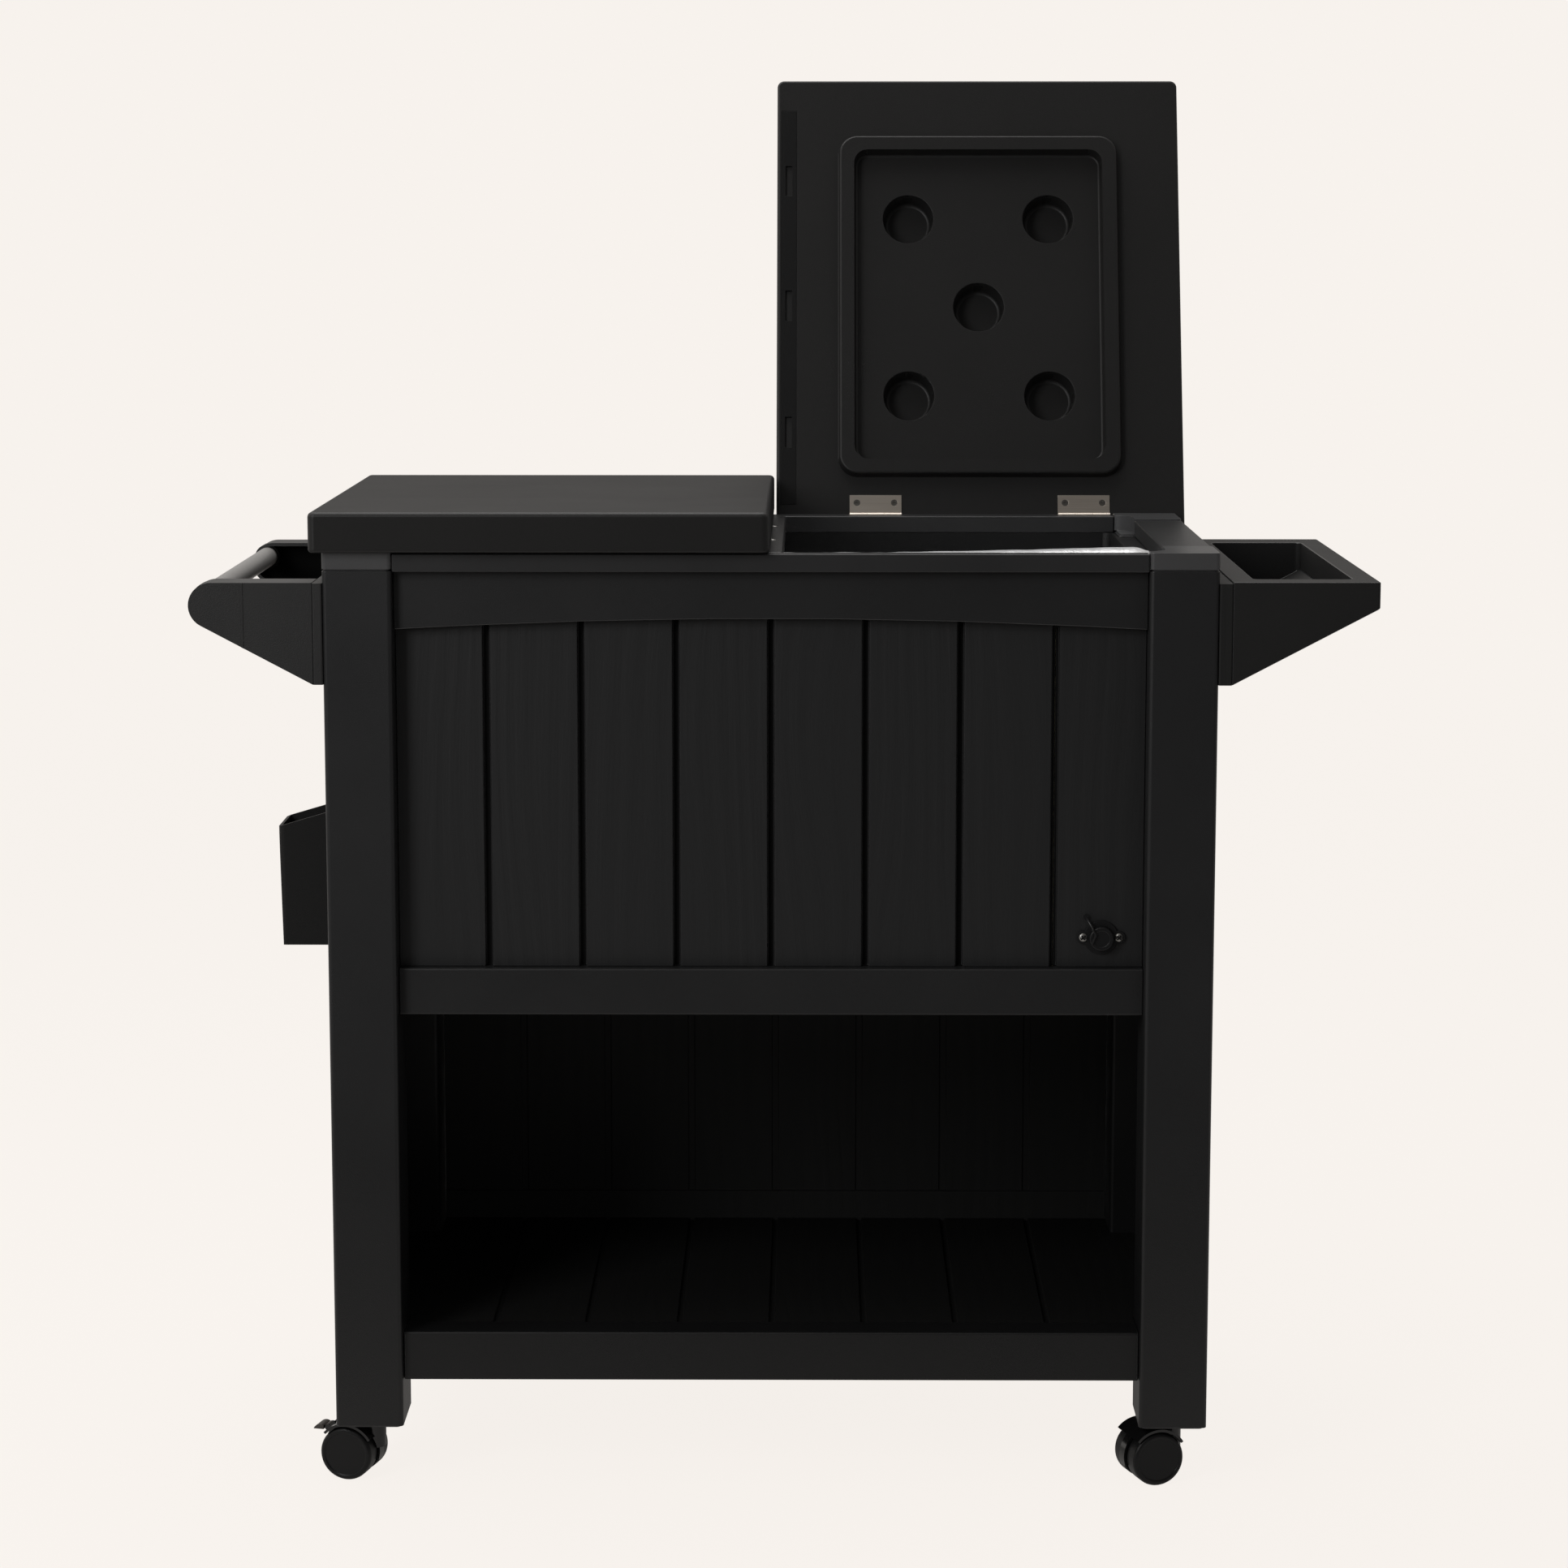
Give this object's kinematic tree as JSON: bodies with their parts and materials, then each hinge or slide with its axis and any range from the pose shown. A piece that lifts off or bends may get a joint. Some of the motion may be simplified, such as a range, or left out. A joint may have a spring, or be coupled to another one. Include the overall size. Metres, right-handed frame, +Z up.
{
  "type": "portable bar",
  "caption": "Wheeled patio bar cart with a lidded ice tub, push handle, side tray, open storage shelf, cap catcher, opener and drain.",
  "frame": {"origin": "on the floor under the middle of the cabinet, midway between the outer faces of its four legs", "axes": "+Z up, the storage opening and the drain face -Y, the handle is at the -X end and the tray at the +X end"},
  "size_m": [1.0625, 0.6588, 1.2947],
  "materials": {
    "body_resin": "fine-grained moulded resin, charcoal",
    "rim_resin": "smooth moulded resin, charcoal",
    "side_resin": "fine-grained moulded resin, charcoal",
    "lid_resin": "fine-grained moulded resin, warm dark grey",
    "foam": "hidden foam",
    "liner_foil": "crinkled foil-faced film",
    "handle_metal": "satin warm grey",
    "steel": "plated steel",
    "caster_black": "glossy black",
    "wheel_black": "satin black",
    "brake_resin": "brown-grey resin",
    "drain_plate": "charcoal resin",
    "drain_rubber": "black rubber"
  },
  "bodies": {
    "cabinet": {"leg_front_left": "body_resin", "leg_front_right": "body_resin", "leg_rear_left": "body_resin", "leg_rear_right": "body_resin", "cap_front_left": "rim_resin", "cap_front_right": "rim_resin", "cap_rear_left": "rim_resin", "cap_rear_right": "rim_resin", "rim_front": "rim_resin", "rim_rear": "rim_resin", "rim_left": "rim_resin", "rim_right": "rim_resin", "tub": "body_resin", "insulation": "foam", "divider": "body_resin", "liners": "liner_foil", "front_planks": "body_resin", "front_plank_drain": "body_resin", "front_top_rail": "body_resin", "front_lower_rail": "body_resin", "rear_panel": "body_resin", "end_panel_left": "body_resin", "end_panel_right": "body_resin", "deck": "body_resin", "shelf_floor": "body_resin", "shelf_rail": "body_resin", "tray_board_plate": "side_resin", "side_tray": "side_resin", "handle_board_plate": "side_resin", "handle_bracket_front": "side_resin", "handle_bracket_rear": "side_resin", "handle_tube": "handle_metal", "bottle_opener": "steel", "cap_catcher": "side_resin", "drain_spout": "drain_plate", "cabinet_screws": "steel", "hinge_leaves_cabinet": "steel", "hinge_pins": "steel", "caster_sockets": "caster_black"},
    "drain_plug": {"drain_plug": "drain_rubber", "drain_tether": "drain_rubber"},
    "lid_left": {"lid_left": "lid_resin", "lid_strip_left": "lid_resin", "hinge_leaves_left": "steel", "hinge_screws_left": "steel"},
    "lid_right": {"lid_right": "lid_resin", "lid_strip_right": "lid_resin", "hinge_leaves_right": "steel", "hinge_screws_right": "steel"},
    "caster_front_left": {"caster_hood_front_left": "caster_black"},
    "wheels_front_left": {"caster_wheels_front_left": "wheel_black"},
    "brake_front_left": {"brake_lever_front_left": "brake_resin"},
    "caster_front_right": {"caster_hood_front_right": "caster_black"},
    "wheels_front_right": {"caster_wheels_front_right": "wheel_black"},
    "caster_rear_left": {"caster_hood_rear_left": "caster_black"},
    "wheels_rear_left": {"caster_wheels_rear_left": "wheel_black"},
    "brake_rear_left": {"brake_lever_rear_left": "brake_resin"},
    "caster_rear_right": {"caster_hood_rear_right": "caster_black"},
    "wheels_rear_right": {"caster_wheels_rear_right": "wheel_black"}
  },
  "joints": [
    {"name": "lid_left_hinge", "type": "hinge", "parent": "cabinet", "child": "lid_left", "pos_m": [-0.206, 0.2292, 0.8605], "axis": [-1, 0, 0], "range_deg": [0, 110]},
    {"name": "lid_right_hinge", "type": "hinge", "parent": "cabinet", "child": "lid_right", "pos_m": [0.206, 0.2292, 0.8605], "axis": [-1, 0, 0], "range_deg": [-110, 0]},
    {"name": "drain_plug_pull", "type": "slide", "parent": "cabinet", "child": "drain_plug", "axis": [0, -1, 0], "range_m": [0, 0.03]},
    {"name": "swivel_front_left", "type": "hinge", "parent": "cabinet", "child": "caster_front_left", "pos_m": [-0.369, -0.188, 0.04], "axis": [0, 0, 1], "continuous": true},
    {"name": "spin_front_left", "type": "hinge", "parent": "caster_front_left", "child": "wheels_front_left", "pos_m": [-0.38832, -0.18282, 0.025], "axis": [0.2588, 0.9659, 0], "continuous": true},
    {"name": "brake_front_left", "type": "hinge", "parent": "caster_front_left", "child": "brake_front_left", "pos_m": [-0.41131, -0.17666, 0.04359], "axis": [-0.2588, -0.9659, 0], "range_deg": [0, 10]},
    {"name": "swivel_front_right", "type": "hinge", "parent": "cabinet", "child": "caster_front_right", "pos_m": [0.369, -0.188, 0.04], "axis": [0, 0, 1], "continuous": true},
    {"name": "spin_front_right", "type": "hinge", "parent": "caster_front_right", "child": "wheels_front_right", "pos_m": [0.35009, -0.19451, 0.025], "axis": [-0.3256, 0.9455, 0], "continuous": true},
    {"name": "swivel_rear_left", "type": "hinge", "parent": "cabinet", "child": "caster_rear_left", "pos_m": [-0.369, 0.188, 0.04], "axis": [0, 0, 1], "continuous": true},
    {"name": "spin_rear_left", "type": "hinge", "parent": "caster_rear_left", "child": "wheels_rear_left", "pos_m": [-0.38558, 0.19918, 0.025], "axis": [0.5592, 0.829, 0], "continuous": true},
    {"name": "brake_rear_left", "type": "hinge", "parent": "caster_rear_left", "child": "brake_rear_left", "pos_m": [-0.40531, 0.21249, 0.04359], "axis": [-0.5592, -0.829, 0], "range_deg": [0, 10]},
    {"name": "swivel_rear_right", "type": "hinge", "parent": "cabinet", "child": "caster_rear_right", "pos_m": [0.369, 0.188, 0.04], "axis": [0, 0, 1], "continuous": true},
    {"name": "spin_rear_right", "type": "hinge", "parent": "caster_rear_right", "child": "wheels_rear_right", "pos_m": [0.35391, 0.17488, 0.025], "axis": [-0.6561, 0.7547, 0], "continuous": true}
  ]
}
